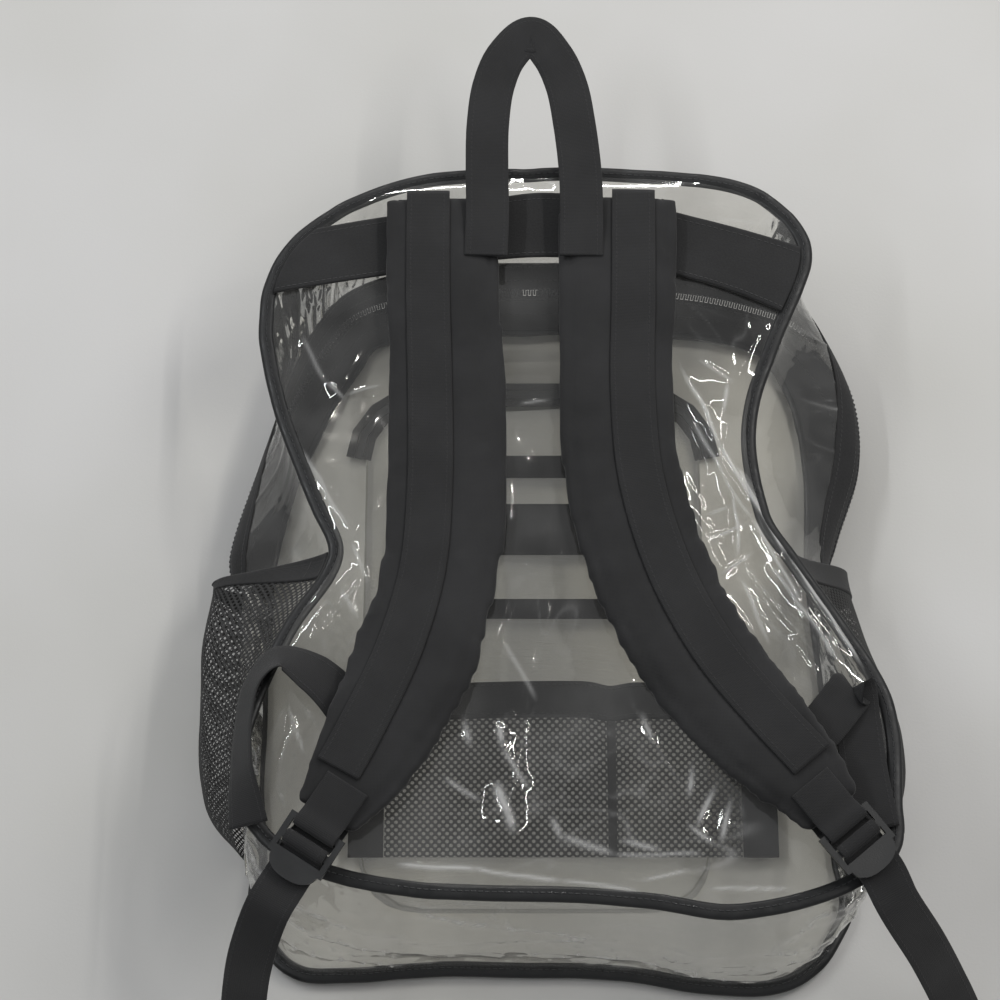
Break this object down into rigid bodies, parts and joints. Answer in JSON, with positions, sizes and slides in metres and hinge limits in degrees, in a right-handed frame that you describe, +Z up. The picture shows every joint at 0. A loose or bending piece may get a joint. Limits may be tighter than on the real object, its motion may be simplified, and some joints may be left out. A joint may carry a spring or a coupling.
{
  "type": "backpack",
  "caption": "Clear sheet backpack with black trim, padded shoulder straps, mesh side pockets and a front zip pocket, lying on its front.",
  "frame": {"origin": "on the surface that the bag lies on, under the middle of its back panel, on the outer face of the front pocket panel", "axes": "+Y towards the bag's top, +Z up from the surface, towards the side with the straps, +X to the right seen from above"},
  "size_m": [0.4804, 0.6666, 0.1277],
  "materials": {
    "clear_sheet": "clear flexible sheet, glossy, with soft creases",
    "binding": "black glossy folded binding with a row of stitches",
    "black_cloth": "black woven nylon, matt",
    "black_plastic": "black moulded plastic, satin",
    "black_net": "black knitted net"
  },
  "bodies": {
    "root": {"back_panel": "clear_sheet", "front_panel": "clear_sheet", "right_gusset": "clear_sheet", "left_gusset": "clear_sheet", "bottom_gusset": "clear_sheet", "upper_gusset": "clear_sheet", "front_pocket_panel": "clear_sheet", "front_pocket_gusset": "clear_sheet", "back_binding": "binding", "front_binding": "binding", "main_zip_rear_tape": "black_cloth", "main_zip_front_tape": "black_cloth", "yoke_band": "black_cloth", "top_handle": "black_cloth", "left_padded_strap": "black_cloth", "right_padded_strap": "black_cloth", "left_strap_webbing": "black_cloth", "right_strap_webbing": "black_cloth", "left_stub": "black_cloth", "right_stub": "black_cloth", "left_adjuster": "black_cloth", "right_adjuster": "black_cloth", "left_pocket_binding": "black_cloth", "right_pocket_binding": "black_cloth", "organizer_hem": "black_cloth", "organizer_left_band": "black_cloth", "organizer_right_band": "black_cloth", "upper_band": "black_cloth", "middle_band": "black_cloth", "lower_band": "black_cloth", "front_pocket_inner_tape": "black_cloth", "front_pocket_outer_tape": "black_cloth", "main_zip_chain": "black_plastic", "main_zip_left_slider": "black_plastic", "main_zip_left_pull": "black_plastic", "main_zip_right_slider": "black_plastic", "main_zip_right_pull": "black_plastic", "left_ladder_lock": "black_plastic", "right_ladder_lock": "black_plastic", "front_pocket_chain": "black_plastic", "front_pocket_slider": "black_plastic", "front_pocket_pull": "black_plastic", "left_mesh_pocket": "black_net", "right_mesh_pocket": "black_net", "organizer_net": "black_net"}
  },
  "joints": []
}
